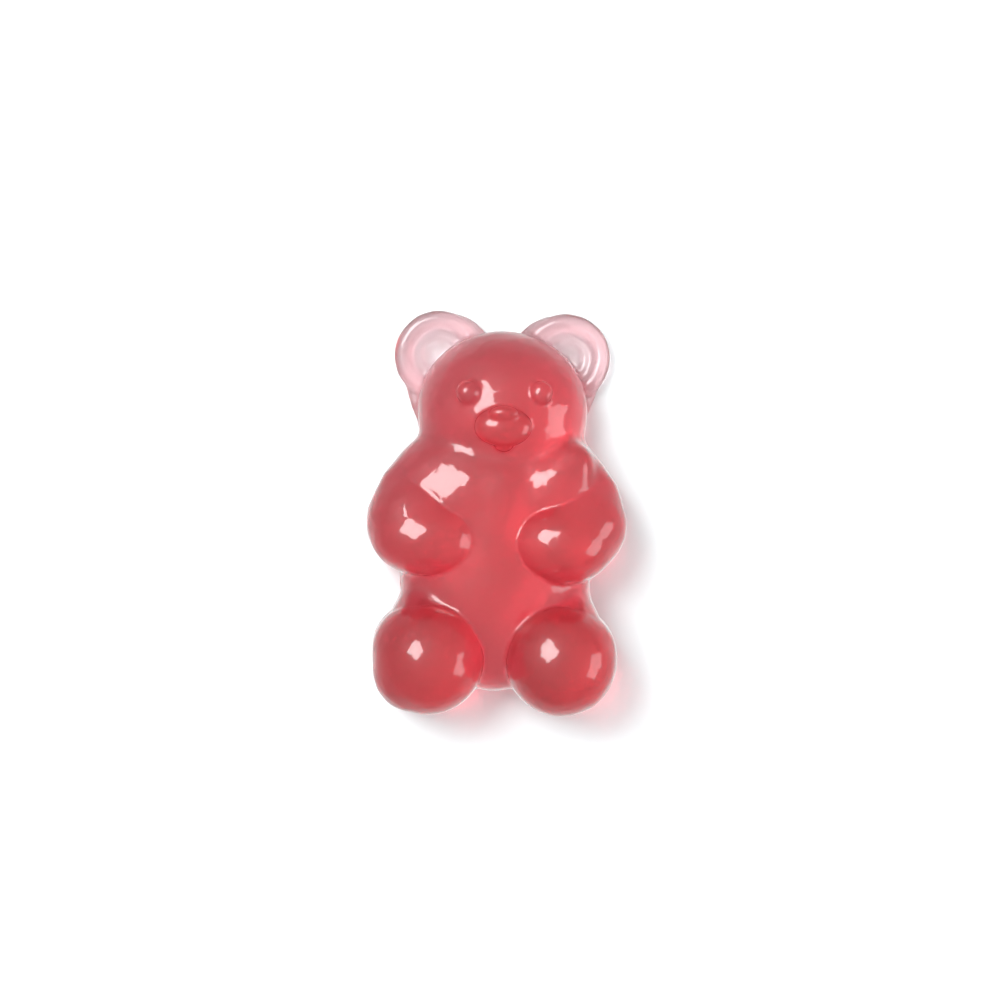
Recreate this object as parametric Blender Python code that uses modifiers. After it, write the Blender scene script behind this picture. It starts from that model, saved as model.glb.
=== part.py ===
"""A gummy bear sweet: one soft moulded solid that lies on its flat back with the front up.

The head points to +Y, the bear's left side to +X, and the flat back lies on z = 0.
It is made in layers, the way the plug of its mould is carved: a low plate with the whole
outline and the ears, the round head and trunk on it, and then the arms, the legs and the
face, which keep a crisp crease where they meet the trunk. All sizes are in metres.
"""

import math
from collections import namedtuple

import bmesh
import bpy
from mathutils import Matrix, Vector

MM = 0.001


def in_mm(*sizes):
    return tuple(size * MM for size in sizes)


# A round-topped column: its middle, half width, half length, rise of its round top, height of the top's foot
Dome = namedtuple("Dome", "x y half_width half_length top foot")


def dome(*sizes):
    return Dome(*in_mm(*sizes))


def ball(x, y, radius, foot):
    return dome(x, y, radius, radius, radius, foot)


# Head and trunk: a lobe on each side of the chest, a rise over the bear's left shoulder,
# a collar below each side of the neck, and a hip that leads up to each leg
HEAD = dome(0.1, 5.7, 4.64, 4.28, 4.1, 1.75)
CHEST_LOBES = (dome(-1.45, 0.95, 4.65, 3.9, 2.95, 2.7), dome(1.3, 0.85, 4.5, 4.0, 2.6, 2.7))
BREAST = dome(-0.2, 1.0, 3.8, 3.5, 3.45, 2.25)
BELLY = dome(-0.06, -2.9, 5.15, 6.7, 3.95, 1.5)
SHOULDER = (dome(2.9, 1.4, 2.5, 2.5, 2.05, 3.5), dome(3.85, 2.8, 1.3, 1.3, 1.15, 4.2))
COLLAR = dome(3.0, 1.7, 2.75, 2.75, 1.9, 2.7)
HIP = (dome(3.65, -4.25, 1.25, 1.25, 1.1, 1.8), dome(4.1, -6.75, 1.95, 1.95, 1.9, 4.05))
TRUNK_PASSES = 34

# Arms: a paw, an elbow and the arm's top under one taut skin
RIGHT_ARM = (
    dome(-3.75, -1.3, 3.05, 2.15, 2.4, 3.95),
    ball(-4.52, -0.5, 2.58, 3.3),
    dome(-5.05, 1.35, 1.35, 1.35, 1.2, 3.2),
)
LEFT_ARM = (
    dome(3.4, -1.45, 2.9, 2.25, 2.6, 3.9),
    ball(4.43, -0.5, 2.53, 3.2),
    dome(5.1, 1.1, 1.45, 1.45, 1.3, 3.0),
)
ARM_PASSES = 10

# Legs: feet that point up, each a little squared off on its outer side
RIGHT_LEG = (
    ball(-3.55, -7.86, 2.98, 4.15),
    ball(-4.2, -7.3, 2.36, 4.15),
    ball(-4.25, -8.45, 2.28, 4.15),
)
LEFT_LEG = (ball(3.62, -7.78, 2.98, 4.15), ball(4.2, -7.4, 2.36, 4.15))

# Plate with the whole outline: the ears run on into the cheeks, and the waist ties the legs to the arms
PLATE_HEIGHT = 0.57 * MM
EAR = ball(3.43, 8.6, 2.45, 0.0)
EAR_INNER = ball(2.85, 8.85, 2.3, 0.0)
CHEEK = ball(2.25, 4.9, 2.35, 1.6)
WAIST = dome(-0.05, -3.5, 5.35, 6.2, 0.0, 2.8)

# Each ear has a raised rim around a dish
EAR_RIM_RADIUS = 1.96 * MM
EAR_RIM_THICK = 0.48 * MM
EAR_RIM_SUNK = 0.05 * MM
EAR_DISH_RADIUS = 1.0 * MM
EAR_DISH_DEPTH = 0.3 * MM

# Face, set on the head's dome: middles and half sizes
MUZZLE_CENTRE = in_mm(0.15, 4.72)
MUZZLE_HALF = in_mm(1.55, 1.1, 0.85)
MUZZLE_LIFT = 0.05 * MM
NOSE_CENTRE = in_mm(0.18, 5.45)
NOSE_HALF = in_mm(0.8, 0.42, 0.42)
NOSE_LIFT = 0.6 * MM
LIP_CENTRE = in_mm(0.22, 3.78)
LIP_HALF = in_mm(0.52, 0.4, 0.65)
EYE_CENTRES = (in_mm(-1.78, 6.53), in_mm(2.14, 6.6))
EYE_HALF = in_mm(0.65, 0.65, 0.52)

# Softness: the steps of the meshes and how many smoothing passes the plate and the whole get
COARSE_STEP = 0.2 * MM
FINE_STEP = 0.13 * MM
OUTLINE_PASSES = 36
EDGE_PASSES = 6
CREASE_PASSES = 2
SUNK = 0.1 * MM  # how far the layers reach below the back before it is cut flat

# Walls lean in by this much of their height, and the edge of the back is eased
DRAFT = 0.02
BACK_EDGE = 0.35 * MM
TRIANGLES = 9400


def clear_scene():
    for old in list(bpy.data.objects):
        bpy.data.objects.remove(old)


def make_collection(name):
    collection = bpy.data.collections.new(name)
    bpy.context.scene.collection.children.link(collection)
    return collection


def add_object(bm, name, collection):
    mesh = bpy.data.meshes.new(name)
    bm.to_mesh(mesh)
    bm.free()
    obj = bpy.data.objects.new(name, mesh)
    collection.objects.link(obj)
    return obj


def add_helper(bm, name):
    helper = add_object(bm, name, helpers)
    helper.hide_render = True
    helper.display_type = "WIRE"
    return helper


def add_modifier(obj, kind, **settings):
    modifier = obj.modifiers.new(kind.title(), kind)
    for setting, value in settings.items():
        setattr(modifier, setting, value)


def add_evaluated(bm, obj):
    """Adds the object's mesh to the bmesh, with the object's modifiers applied."""
    evaluated = obj.evaluated_get(bpy.context.evaluated_depsgraph_get())
    bm.from_mesh(evaluated.to_mesh())
    evaluated.to_mesh_clear()


def placed(centre, half):
    return Matrix.LocRotScale(Vector(centre), None, Vector(half))


def add_ellipsoid(bm, centre, half):
    bmesh.ops.create_uvsphere(bm, u_segments=64, v_segments=32, radius=1, matrix=placed(centre, half))


def add_ring(bm, centre, half):
    flat = (half[0], half[1], 1)
    bmesh.ops.create_circle(bm, segments=64, radius=1, matrix=placed(centre, flat))


def add_hull(bm, points):
    """Adds the taut skin over the points of another bmesh, which it uses up."""
    bmesh.ops.delete(points, geom=points.edges[:], context="EDGES_FACES")
    hull = bmesh.ops.convex_hull(points, input=points.verts)
    inner = [item for item in hull["geom_interior"] if isinstance(item, bmesh.types.BMVert)]
    bmesh.ops.delete(points, geom=inner, context="VERTS")
    skin = bpy.data.meshes.new("skin")
    points.to_mesh(skin)
    points.free()
    bm.from_mesh(skin)
    bpy.data.meshes.remove(skin)


def add_footprint(bm, shape):
    """Where the leaning wall of a column meets the back, with the edge of the back eased."""
    wide = shape.half_width + DRAFT * shape.foot
    long = shape.half_length + DRAFT * shape.foot
    add_ring(bm, (shape.x, shape.y, BACK_EDGE), (wide, long))
    add_ring(bm, (shape.x, shape.y, -SUNK), (wide - BACK_EDGE, long - BACK_EDGE))


def add_column(bm, shape):
    """The upper half of an ellipsoid on a column that reaches below the back."""
    points = bmesh.new()
    add_ellipsoid(points, (shape.x, shape.y, shape.foot), (shape.half_width, shape.half_length, shape.top))
    lower = [vert for vert in points.verts if vert.co.z < shape.foot - shape.top * 0.01]
    bmesh.ops.delete(points, geom=lower, context="VERTS")
    add_footprint(points, shape)
    add_hull(bm, points)


def add_domes(bm, *shapes):
    """One taut skin over round-topped columns."""
    points = bmesh.new()
    for shape in shapes:
        add_column(points, shape)
    add_hull(bm, points)


def add_discs(bm, *shapes):
    """One taut skin over the footprints of the columns, as high as the plate."""
    points = bmesh.new()
    for shape in shapes:
        add_ring(points, (shape.x, shape.y, PLATE_HEIGHT), (shape.half_width, shape.half_length))
        add_footprint(points, shape)
    add_hull(bm, points)


def on_side(side, *shapes):
    return [shape._replace(x=side * shape.x) for shape in shapes]


def make_plate():
    """The low layer. Smoothing in the plane alone rounds the outline's corners and keeps the height."""
    bm = bmesh.new()
    add_discs(bm, HEAD)
    add_discs(bm, WAIST)
    for side, arm, leg in ((-1, RIGHT_ARM, RIGHT_LEG), (1, LEFT_ARM, LEFT_LEG)):
        _, elbow, arm_top = arm
        add_discs(bm, *on_side(side, EAR, EAR_INNER, CHEEK))
        add_discs(bm, *on_side(side, COLLAR), arm_top, elbow)
        add_discs(bm, *leg)
    plate = add_helper(bm, "plate")
    add_modifier(plate, "REMESH", mode="VOXEL", voxel_size=COARSE_STEP)
    add_modifier(plate, "SMOOTH", factor=0.5, iterations=OUTLINE_PASSES, use_z=False)
    add_modifier(plate, "SMOOTH", factor=0.5, iterations=EDGE_PASSES)
    add_modifier(plate, "BOOLEAN", operation="DIFFERENCE", object=make_ear_dishes(), solver="EXACT")
    return plate


def make_trunk():
    bm = bmesh.new()
    add_domes(bm, HEAD)
    add_domes(bm, BREAST, BELLY)
    add_domes(bm, *SHOULDER)
    for lobe in CHEST_LOBES:
        add_domes(bm, lobe)
    for side, arm in ((-1, RIGHT_ARM), (1, LEFT_ARM)):
        add_domes(bm, *on_side(side, COLLAR), arm[-1])
        add_domes(bm, *on_side(side, *HIP))
    trunk = add_helper(bm, "trunk")
    add_modifier(trunk, "REMESH", mode="VOXEL", voxel_size=COARSE_STEP)
    add_modifier(trunk, "SMOOTH", factor=0.5, iterations=TRUNK_PASSES)
    return trunk


def make_arms():
    bm = bmesh.new()
    add_domes(bm, *RIGHT_ARM)
    add_domes(bm, *LEFT_ARM)
    arms = add_helper(bm, "arms")
    add_modifier(arms, "REMESH", mode="VOXEL", voxel_size=COARSE_STEP)
    add_modifier(arms, "SMOOTH", factor=0.5, iterations=ARM_PASSES)
    return arms


def add_ear_rims(bm):
    for side in (-1, 1):
        circle = bmesh.ops.create_circle(bm, segments=16, radius=EAR_RIM_THICK)
        centre = Vector((side * EAR.x, EAR.y, PLATE_HEIGHT - EAR_RIM_SUNK))
        turn = Matrix.Rotation(math.pi / 2, 4, "X")
        start = Matrix.Translation(centre + Vector((EAR_RIM_RADIUS, 0, 0))) @ turn
        bmesh.ops.transform(bm, verts=circle["verts"], matrix=start)
        edges = list({edge for vert in circle["verts"] for edge in vert.link_edges})
        bmesh.ops.spin(bm, geom=circle["verts"] + edges, cent=centre, axis=(0, 0, 1),
                       angle=math.tau, steps=64, use_merge=True)


def make_ear_dishes():
    bm = bmesh.new()
    for side in (-1, 1):
        half = (EAR_DISH_RADIUS, EAR_DISH_RADIUS, EAR_DISH_DEPTH)
        add_ellipsoid(bm, (side * EAR.x, EAR.y, PLATE_HEIGHT), half)
    return add_helper(bm, "ear_dishes")


def head_height(x, y):
    across = (x - HEAD.x) / HEAD.half_width
    along = (y - HEAD.y) / HEAD.half_length
    return HEAD.foot + HEAD.top * math.sqrt(1 - across**2 - along**2)


def add_face(bm):
    eyes = [(centre, EYE_HALF, 0) for centre in EYE_CENTRES]
    muzzle = (MUZZLE_CENTRE, MUZZLE_HALF, MUZZLE_LIFT)
    nose = (NOSE_CENTRE, NOSE_HALF, NOSE_LIFT)
    lip = (LIP_CENTRE, LIP_HALF, 0)
    for (x, y), half, lift in [muzzle, nose, lip, *eyes]:
        add_ellipsoid(bm, (x, y, head_height(x, y) + lift), half)


def make_layers():
    """All the layers under one skin, thinned to the wanted number of triangles."""
    bm = bmesh.new()
    for layer in (make_plate(), make_trunk(), make_arms()):
        add_evaluated(bm, layer)
    add_ear_rims(bm)
    add_domes(bm, *RIGHT_LEG)
    add_domes(bm, *LEFT_LEG)
    add_face(bm)
    layers = add_helper(bm, "layers")
    add_modifier(layers, "REMESH", mode="VOXEL", voxel_size=FINE_STEP)
    add_modifier(layers, "SMOOTH", factor=0.5, iterations=CREASE_PASSES)
    fine = bmesh.new()
    add_evaluated(fine, layers)
    fine_triangles = sum(len(face.verts) - 2 for face in fine.faces)
    fine.free()
    add_modifier(layers, "DECIMATE", ratio=TRIANGLES / fine_triangles)
    return layers


def cut_back(bm):
    """Cuts the back flat at z = 0 and closes it."""
    everything = bm.verts[:] + bm.edges[:] + bm.faces[:]
    cut = bmesh.ops.bisect_plane(bm, geom=everything, dist=1e-7, plane_co=(0, 0, 0),
                                 plane_no=(0, 0, 1), clear_inner=True)
    rim = [item for item in cut["geom_cut"] if isinstance(item, bmesh.types.BMEdge)]
    bmesh.ops.contextual_create(bm, geom=rim)
    bmesh.ops.triangulate(bm, faces=bm.faces)


def centre_outline(bm):
    """Puts the origin under the middle of the outline."""
    for axis in (Vector((1, 0, 0)), Vector((0, 1, 0))):
        ends = [vert.co.dot(axis) for vert in bm.verts]
        bmesh.ops.translate(bm, verts=bm.verts, vec=-axis * (min(ends) + max(ends)) / 2)


def gelatine():
    """Clear pinkish-red gelatine with a wet-looking skin."""
    material = bpy.data.materials.new("pink_gelatine")
    material.use_nodes = True
    shader = material.node_tree.nodes["Principled BSDF"]
    shader.inputs["Base Color"].default_value = (0.6, 0.07, 0.09, 1)
    shader.inputs["Roughness"].default_value = 0.15
    shader.inputs["Metallic"].default_value = 0
    shader.inputs["IOR"].default_value = 1.45
    shader.inputs["Transmission Weight"].default_value = 0.7
    return material


def make_bear():
    bm = bmesh.new()
    add_evaluated(bm, make_layers())
    cut_back(bm)
    centre_outline(bm)
    bear = add_object(bm, "bear", bear_collection)
    bear.data.shade_smooth()
    bear.data.materials.append(gelatine())


clear_scene()
helpers = make_collection("helpers")
bear_collection = make_collection("gummy_bear")
make_bear()
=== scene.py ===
import math

import bmesh
import bpy
from mathutils import Matrix, Vector


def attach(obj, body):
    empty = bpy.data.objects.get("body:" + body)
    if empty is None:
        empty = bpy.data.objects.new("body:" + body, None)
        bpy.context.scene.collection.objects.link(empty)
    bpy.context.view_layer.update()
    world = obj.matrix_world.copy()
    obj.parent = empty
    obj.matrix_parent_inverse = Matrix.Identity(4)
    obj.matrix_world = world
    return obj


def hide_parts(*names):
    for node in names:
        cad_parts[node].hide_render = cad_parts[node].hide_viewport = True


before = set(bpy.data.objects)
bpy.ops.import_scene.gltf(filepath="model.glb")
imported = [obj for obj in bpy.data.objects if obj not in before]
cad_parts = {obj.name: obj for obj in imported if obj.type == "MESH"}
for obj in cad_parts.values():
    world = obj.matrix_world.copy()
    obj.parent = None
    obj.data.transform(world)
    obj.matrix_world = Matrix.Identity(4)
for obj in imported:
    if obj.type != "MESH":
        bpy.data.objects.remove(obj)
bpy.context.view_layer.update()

print("frame loaded")

mm = 0.001  # the sweet is modelled in millimetres and brought to metres at the end
workshop = bpy.data.collections.new("workshop")  # layers that only feed the finished skin
bpy.context.scene.collection.children.link(workshop)


def objectFrom(bm, name, collection):
    data = bpy.data.meshes.new(name)
    bm.to_mesh(data)
    bm.free()
    ob = bpy.data.objects.new(name, data)
    collection.objects.link(ob)
    return ob


def modify(ob, kind, **settings):
    modifier = ob.modifiers.new(kind.lower(), kind)
    for key, value in settings.items():
        setattr(modifier, key, value)


def pour(bm, ob):  # the object's finished mesh goes into the bmesh, and the object is dropped
    done = bpy.data.meshes.new_from_object(ob.evaluated_get(bpy.context.evaluated_depsgraph_get()))
    bm.from_mesh(done)
    bpy.data.meshes.remove(done)
    bpy.data.objects.remove(ob)


def at(x, y, z, sx=1.0, sy=1.0, sz=1.0):
    return Matrix.LocRotScale(Vector((x, y, z)), None, Vector((sx, sy, sz)))


def egg(bm, x, y, z, sx, sy, sz):
    return bmesh.ops.create_uvsphere(bm, u_segments=96, v_segments=48, radius=1, matrix=at(x, y, z, sx, sy, sz))


def ring(bm, x, y, z, sx, sy):
    bmesh.ops.create_circle(bm, segments=96, radius=1, matrix=at(x, y, z, sx, sy))


def hoop(bm, centre, radius, thick):  # a round bar bent into a level circle
    start = Matrix.Translation(centre + Vector((radius, 0, 0))) @ Matrix.Rotation(math.pi / 2, 4, "X")
    loop = bmesh.ops.create_circle(bm, segments=24, radius=thick, matrix=start)["verts"]
    edges = list({e for v in loop for e in v.link_edges})
    bmesh.ops.spin(bm, geom=loop + edges, cent=centre, axis=(0, 0, 1), angle=math.tau, steps=96, use_merge=True)


def skinOver(bm, points):  # a taut convex skin round loose points
    bmesh.ops.delete(points, geom=points.edges[:], context="EDGES_FACES")
    hull = bmesh.ops.convex_hull(points, input=points.verts)
    inner = [g for g in hull["geom_interior"] if isinstance(g, bmesh.types.BMVert)]
    bmesh.ops.delete(points, geom=inner, context="VERTS")
    data = bpy.data.meshes.new("skin")
    points.to_mesh(data)
    points.free()
    bm.from_mesh(data)
    bpy.data.meshes.remove(data)


mould = {
    "draft": 0.02,       # walls lean in by this much of their height
    "backEdge": 0.35,    # eased edge of the flat back
    "sunk": 0.1,         # reach below the back before it is cut flat
    "coarse": 0.2,       # mesh step of the soft layers
    "fine": 0.1,         # mesh step of the finished skin
    "creasePasses": 3,   # smoothing of the finished skin
    "plateHeight": 0.57,
    "outlinePasses": 36,  # smoothing of the plate in its own plane
    "edgePasses": 6,     # smoothing of the plate all round
    "rippleWide": 1.5,   # faint uneven swelling of a skin that has dried
    "rippleHigh": 0.1,
}


def foot(bm, x, y, sx, sy, height):  # where the leaning wall meets the back
    out = mould["draft"] * height
    ring(bm, x, y, mould["backEdge"], sx + out, sy + out)
    ring(bm, x, y, -mould["sunk"], sx + out - mould["backEdge"], sy + out - mould["backEdge"])


def column(bm, x, y, size, height):  # the upper half of an egg on a leaning column
    points = bmesh.new()
    dome = egg(points, x, y, height, *size)
    low = [v for v in dome["verts"] if v.co.z < height - 0.01 * size[2]]
    bmesh.ops.delete(points, geom=low, context="VERTS")
    foot(points, x, y, size[0], size[1], height)
    skinOver(bm, points)


def domes(bm, *balls):  # (x, y, half width, half length, round top, wall under it) under one skin
    points = bmesh.new()
    for x, y, sx, sy, top, wall in balls:
        column(points, x, y, (sx, sy, top), wall)
    skinOver(bm, points)


def ball(x, y, radius, wall):
    return (x, y, radius, radius, radius, wall)


def discs(bm, *rounds):  # (x, y, half width, half length, height of the column's foot) as low as the plate
    points = bmesh.new()
    for x, y, sx, sy, height in rounds:
        ring(points, x, y, mould["plateHeight"], sx, sy)
        foot(points, x, y, sx, sy, height)
    skinOver(bm, points)


def swap(side, ball):
    return (side * ball[0], *ball[1:])


def flat(ball):  # the footprint of a ball
    return (*ball[:4], ball[5])


# head, chest, belly and the rise over each shoulder
trunk = {
    "head": (0.1, 5.7, 4.64, 4.28, 4.1, 1.75),
    "chest": ((-1.45, 0.95, 4.65, 3.9, 2.95, 2.7), (1.3, 0.85, 4.5, 4.0, 2.6, 2.7)),
    "breast": (-0.2, 1.0, 3.8, 3.5, 3.45, 2.25),
    "belly": (-0.06, -2.9, 5.15, 6.7, 3.95, 1.5),
    "shoulder": ((2.9, 1.4, 2.5, 2.5, 2.05, 3.5), (3.85, 2.8, 1.3, 1.3, 1.15, 4.2)),
    "collar": (3.0, 1.7, 2.75, 2.75, 1.9, 2.7),
    "waist": (-0.05, -3.5, 5.35, 6.2, 2.8),
    "hip": ((3.65, -4.25, 1.25, 1.25, 1.1, 1.8), (4.1, -6.75, 1.95, 1.95, 1.9, 4.05)),
    "passes": 34,
}

arms = {
    "rightPaw": (-3.75, -1.3, 3.05, 2.15, 2.4, 3.95),
    "leftPaw": (3.4, -1.45, 2.9, 2.25, 2.6, 3.9),
    "rightElbow": ball(-4.52, -0.5, 2.58, 3.3),
    "leftElbow": ball(4.43, -0.5, 2.53, 3.2),
    "rightTop": (-5.05, 1.35, 1.35, 1.35, 1.2, 3.2),
    "leftTop": (5.1, 1.1, 1.45, 1.45, 1.3, 3.0),
    "passes": 10,
}

legs = {
    "right": (
        ball(-3.55, -7.86, 2.98, 4.15),
        ball(-4.2, -7.3, 2.36, 4.15),
        ball(-4.25, -8.45, 2.28, 4.15),
    ),
    "left": (ball(3.62, -7.78, 2.98, 4.15), ball(4.2, -7.4, 2.36, 4.15)),
}

ears = {
    "disc": ball(3.43, 8.6, 2.45, 0.0),
    "inner": ball(2.85, 8.85, 2.3, 0.0),
    "cheek": ball(2.25, 4.9, 2.35, 1.6),
    "rimRadius": 1.96,
    "rimThick": 0.48,
    "rimSunk": 0.05,
    "dish": 1.0,
    "dishDeep": 0.3,
}

face = {
    "muzzleAt": (0.15, 4.72), "muzzle": (1.55, 1.1, 0.85), "muzzleLift": 0.05,
    "noseAt": (0.18, 5.45), "nose": (0.8, 0.42, 0.42), "noseLift": 0.6,
    "lipAt": (0.22, 3.78), "lip": (0.52, 0.4, 0.65),
    "eyesAt": ((-1.78, 6.53), (2.14, 6.6)), "eye": (0.65, 0.65, 0.52),
}


def makePlate():  # low layer with the whole outline; smoothing in the plane alone keeps its height
    bm = bmesh.new()
    discs(bm, flat(trunk["head"]))
    for side in (-1, 1):
        discs(bm, *[flat(swap(side, b)) for b in (ears["disc"], ears["inner"], ears["cheek"])])
    discs(bm, flat(swap(-1, trunk["collar"])), flat(arms["rightTop"]), flat(arms["rightElbow"]))
    discs(bm, flat(trunk["collar"]), flat(arms["leftTop"]), flat(arms["leftElbow"]))
    discs(bm, *[flat(b) for b in legs["right"]])
    discs(bm, *[flat(b) for b in legs["left"]])
    discs(bm, trunk["waist"])
    plate = objectFrom(bm, "plate", workshop)
    bm = bmesh.new()
    for side in (-1, 1):
        x, y = side * ears["disc"][0], ears["disc"][1]
        egg(bm, x, y, mould["plateHeight"], ears["dish"], ears["dish"], ears["dishDeep"])
    dishes = objectFrom(bm, "dishes", workshop)
    modify(plate, "REMESH", mode="VOXEL", voxel_size=mould["coarse"])
    modify(plate, "SMOOTH", factor=0.5, iterations=mould["outlinePasses"], use_z=False)
    modify(plate, "SMOOTH", factor=0.5, iterations=mould["edgePasses"])
    modify(plate, "BOOLEAN", operation="DIFFERENCE", object=dishes)
    bm = bmesh.new()
    pour(bm, plate)
    bpy.data.objects.remove(dishes)
    for side in (-1, 1):  # raised rim round each dish
        centre = Vector((side * ears["disc"][0], ears["disc"][1], mould["plateHeight"] - ears["rimSunk"]))
        hoop(bm, centre, ears["rimRadius"], ears["rimThick"])
    return bm


def makeTrunk():
    bm = bmesh.new()
    domes(bm, trunk["head"])
    domes(bm, trunk["breast"], trunk["belly"])
    for lobe in trunk["chest"]:
        domes(bm, lobe)
    domes(bm, *trunk["shoulder"])
    domes(bm, swap(-1, trunk["collar"]), arms["rightTop"])
    domes(bm, trunk["collar"], arms["leftTop"])
    for side in (-1, 1):
        domes(bm, *[swap(side, b) for b in trunk["hip"]])
    ob = objectFrom(bm, "trunk", workshop)
    modify(ob, "REMESH", mode="VOXEL", voxel_size=mould["coarse"])
    modify(ob, "SMOOTH", factor=0.5, iterations=trunk["passes"])
    return ob


def makeArms():
    bm = bmesh.new()
    domes(bm, arms["rightPaw"], arms["rightElbow"], arms["rightTop"])
    domes(bm, arms["leftPaw"], arms["leftElbow"], arms["leftTop"])
    ob = objectFrom(bm, "arms", workshop)
    modify(ob, "REMESH", mode="VOXEL", voxel_size=mould["coarse"])
    modify(ob, "SMOOTH", factor=0.5, iterations=arms["passes"])
    return ob


def headTop(x, y):
    hx, hy, sx, sy, top, wall = trunk["head"]
    return wall + top * math.sqrt(1 - ((x - hx) / sx) ** 2 - ((y - hy) / sy) ** 2)


def makeFace(bm):
    spots = [
        (face["muzzleAt"], face["muzzle"], face["muzzleLift"]),
        (face["noseAt"], face["nose"], face["noseLift"]),
        (face["lipAt"], face["lip"], 0),
    ]
    spots += [(eyeAt, face["eye"], 0) for eyeAt in face["eyesAt"]]
    for (x, y), size, lift in spots:
        egg(bm, x, y, headTop(x, y) + lift, *size)


bm = makePlate()
pour(bm, makeTrunk())
pour(bm, makeArms())
domes(bm, *legs["right"])
domes(bm, *legs["left"])
makeFace(bm)
layers = objectFrom(bm, "layers", workshop)
modify(layers, "REMESH", mode="VOXEL", voxel_size=mould["fine"])
modify(layers, "SMOOTH", factor=0.5, iterations=mould["creasePasses"])
swell = bpy.data.textures.new("swell", "CLOUDS")
swell.noise_scale = mould["rippleWide"]
modify(layers, "DISPLACE", texture=swell, strength=mould["rippleHigh"])
bm = bmesh.new()
pour(bm, layers)
whole = bm.verts[:] + bm.edges[:] + bm.faces[:]
cut = bmesh.ops.bisect_plane(bm, geom=whole, dist=1e-4, plane_co=(0, 0, 0), plane_no=(0, 0, 1), clear_inner=True)
bmesh.ops.contextual_create(bm, geom=[g for g in cut["geom_cut"] if isinstance(g, bmesh.types.BMEdge)])
for axis in (Vector((1, 0, 0)), Vector((0, 1, 0))):
    ends = [v.co.dot(axis) for v in bm.verts]
    bmesh.ops.translate(bm, verts=bm.verts, vec=-axis * (min(ends) + max(ends)) / 2)
bmesh.ops.scale(bm, verts=bm.verts, vec=(mm, mm, mm))
bear = objectFrom(bm, "gummyBear", bpy.context.scene.collection)
bear.data.shade_smooth()
print("bear poured:", len(bear.data.vertices), "points")


def hexColor(code):  # sRGB hex to linear
    parts = [int(code[i:i + 2], 16) / 255 for i in (1, 3, 5)]
    return (*[c / 12.92 if c <= 0.04045 else ((c + 0.055) / 1.055) ** 2.4 for c in parts], 1.0)


def addNode(tree, kind, links=(), **settings):  # links: (input, output socket) pairs
    node = tree.nodes.new(kind)
    for key, value in settings.items():
        if key.startswith("_"):
            setattr(node, key[1:], value)
        else:
            node.inputs[key.replace("_", " ")].default_value = value
    for socket, source in links:
        tree.links.new(source, node.inputs[socket])
    return node


# Set gelatine with sugar and colour in it: clear through, paler where thin, with an oiled skin.
# Light fades along its way through the sweet, and the thin oil gives the sharp reflections.
gel = {
    "tint": "#f02765",        # what is left of white light after a long way through
    "fade": 320.0,            # how fast, for each metre
    "ior": 1.34,              # wet gel
    "haze": (0.38, 0.46),     # faint cloudiness under the skin, in patches
    "hazeWide": 2.5,
    "oilRough": 0.03,
    "oilIor": 1.5,
    "grainWide": 0.3,         # fine dimples that fray the edge of a reflection
    "grainDeep": 0.0025,
}


def gelatine():
    mat = bpy.data.materials.new("pinkGelatine")
    mat.use_nodes = True
    tree = mat.node_tree
    tree.nodes.clear()
    out = tree.nodes.new("ShaderNodeOutputMaterial")
    where = addNode(tree, "ShaderNodeTexCoord").outputs["Object"]
    clouding = addNode(tree, "ShaderNodeTexNoise", links=[("Vector", where)],
                       Scale=1 / (gel["hazeWide"] * mm), Detail=3.0)
    haze = addNode(tree, "ShaderNodeMapRange", links=[("Value", clouding.outputs["Fac"])],
                   To_Min=gel["haze"][0], To_Max=gel["haze"][1])
    grain = addNode(tree, "ShaderNodeTexNoise", links=[("Vector", where)],
                    Scale=1 / (gel["grainWide"] * mm), Detail=2.0)
    dimple = addNode(tree, "ShaderNodeBump", links=[("Height", grain.outputs["Fac"])],
                     Strength=1.0, Distance=gel["grainDeep"] * mm)
    skin = addNode(tree, "ShaderNodeBsdfPrincipled", Base_Color=hexColor("#ffffff"), IOR=gel["ior"],
                   links=[("Roughness", haze.outputs["Result"]), ("Normal", dimple.outputs["Normal"]),
                          ("Coat Normal", dimple.outputs["Normal"])])
    skin.inputs["Transmission Weight"].default_value = 1.0
    skin.inputs["Coat Weight"].default_value = 1.0
    skin.inputs["Coat Roughness"].default_value = gel["oilRough"]
    skin.inputs["Coat IOR"].default_value = gel["oilIor"]
    body = addNode(tree, "ShaderNodeVolumeAbsorption", Color=hexColor(gel["tint"]), Density=gel["fade"])
    tree.links.new(skin.outputs["BSDF"], out.inputs["Surface"])
    tree.links.new(body.outputs["Volume"], out.inputs["Volume"])
    return mat


bear.data.materials.append(gelatine())
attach(bear, "root")
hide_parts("bear")
print("gelatine set")

# Matt white card under the sweet, with a faint grain of fibres
card = {"fibreWide": 0.5, "tones": ("#e6eeef", "#e8f0f1"), "rough": 0.9, "shine": 0.1, "half": 2.0, "drop": 0.05}
bm = bmesh.new()
bmesh.ops.create_grid(bm, x_segments=1, y_segments=1, size=card["half"])
floor = objectFrom(bm, "floor", bpy.context.scene.collection)
floor.location.z = -card["drop"] * mm
floorMat = bpy.data.materials.new("whiteCard")
floorMat.use_nodes = True
sheet = floorMat.node_tree
shader = sheet.nodes["Principled BSDF"]
grid = addNode(sheet, "ShaderNodeTexCoord").outputs["Object"]
fibres = addNode(sheet, "ShaderNodeTexNoise", links=[("Vector", grid)],
                 Scale=1 / (card["fibreWide"] * mm), Detail=4.0)
tone = addNode(sheet, "ShaderNodeMix", links=[("Factor", fibres.outputs["Fac"])], _data_type="RGBA")
tone.inputs["A"].default_value = hexColor(card["tones"][0])
tone.inputs["B"].default_value = hexColor(card["tones"][1])
sheet.links.new(tone.outputs["Result"], shader.inputs["Base Color"])
shader.inputs["Roughness"].default_value = card["rough"]
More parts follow.
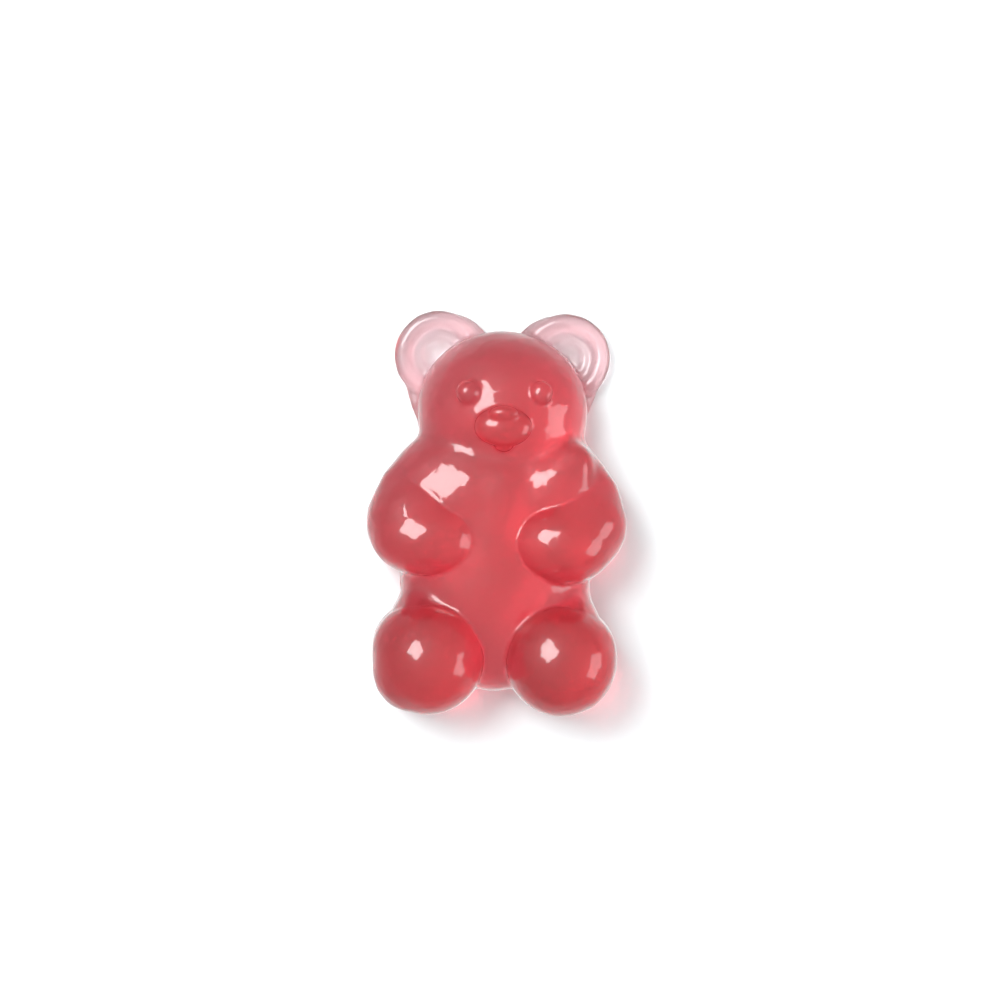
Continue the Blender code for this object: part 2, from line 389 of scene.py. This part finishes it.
shader.inputs["Specular IOR Level"].default_value = card["shine"]
floor.data.materials.append(floorMat)
floor.visible_glossy = False  # the sweet's steep sides reflect the dim room, not the card

# One square softbox high on the left, one low card of light on the right, and a pale room that
# is dimmer towards its walls
studio = {
    "keyTo": (-0.441, 0.326, 0.836), "keyFar": 0.3, "keySize": 0.175, "keyRadiance": 10.5,
    "cardTo": (0.953, -0.159, 0.26), "cardFar": 0.25, "cardSize": (0.17, 0.13), "cardRadiance": 3.0,
    "room": 0.9, "walls": 0.5, "wallsTop": 0.8,
}


def softbox(name, direction, far, width, height, radiance):  # aimed at the sweet
    lamp = bpy.data.lights.new(name, "AREA")
    lamp.shape = "RECTANGLE"
    lamp.size = width
    lamp.size_y = height
    lamp.energy = radiance * math.pi * width * height
    ob = bpy.data.objects.new(name, lamp)
    bpy.context.scene.collection.objects.link(ob)
    to = Vector(direction).normalized()
    ob.location = to * far
    ob.rotation_euler = to.to_track_quat("Z", "Y").to_euler()


softbox("key", studio["keyTo"], studio["keyFar"], studio["keySize"], studio["keySize"], studio["keyRadiance"])
softbox("card", studio["cardTo"], studio["cardFar"], *studio["cardSize"], studio["cardRadiance"])
print("studio lit")
room = bpy.data.worlds.new("room")
room.use_nodes = True
sky = room.node_tree
aim = addNode(sky, "ShaderNodeTexCoord")
height = addNode(sky, "ShaderNodeSeparateXYZ", links=[("Vector", aim.outputs["Generated"])])
steep = addNode(sky, "ShaderNodeMath", links=[(0, height.outputs["Z"])], _operation="ABSOLUTE")
rise = addNode(sky, "ShaderNodeMapRange", links=[("Value", steep.outputs[0])],
               To_Min=studio["walls"], To_Max=studio["room"])
rise.inputs["From Max"].default_value = studio["wallsTop"]
sky.links.new(rise.outputs["Result"], sky.nodes["Background"].inputs["Strength"])
sky.nodes["Background"].inputs["Color"].default_value = (1, 1, 1, 1)
bpy.context.scene.world = room
bpy.context.scene.view_settings.view_transform = "Standard"

# Straight down through a long lens, turned a little so that the sweet leans
lens = {"lean": 1.5, "focal": 200.0, "sensor": 36.0, "frameWide": 54.6, "aimX": 0.145, "aimY": 0.741}
cam = bpy.data.cameras.new("camera")
cam.lens = lens["focal"]
cam.sensor_width = lens["sensor"]
high = lens["frameWide"] * mm * lens["focal"] / lens["sensor"]
camera = bpy.data.objects.new("camera", cam)
camera.location = (lens["aimX"] * mm, lens["aimY"] * mm, high)
camera.rotation_euler = (0, 0, math.radians(lens["lean"]))
cam.clip_start = 0.01
bpy.context.scene.collection.objects.link(camera)
bpy.context.scene.camera = camera

bpy.data.collections.remove(workshop)
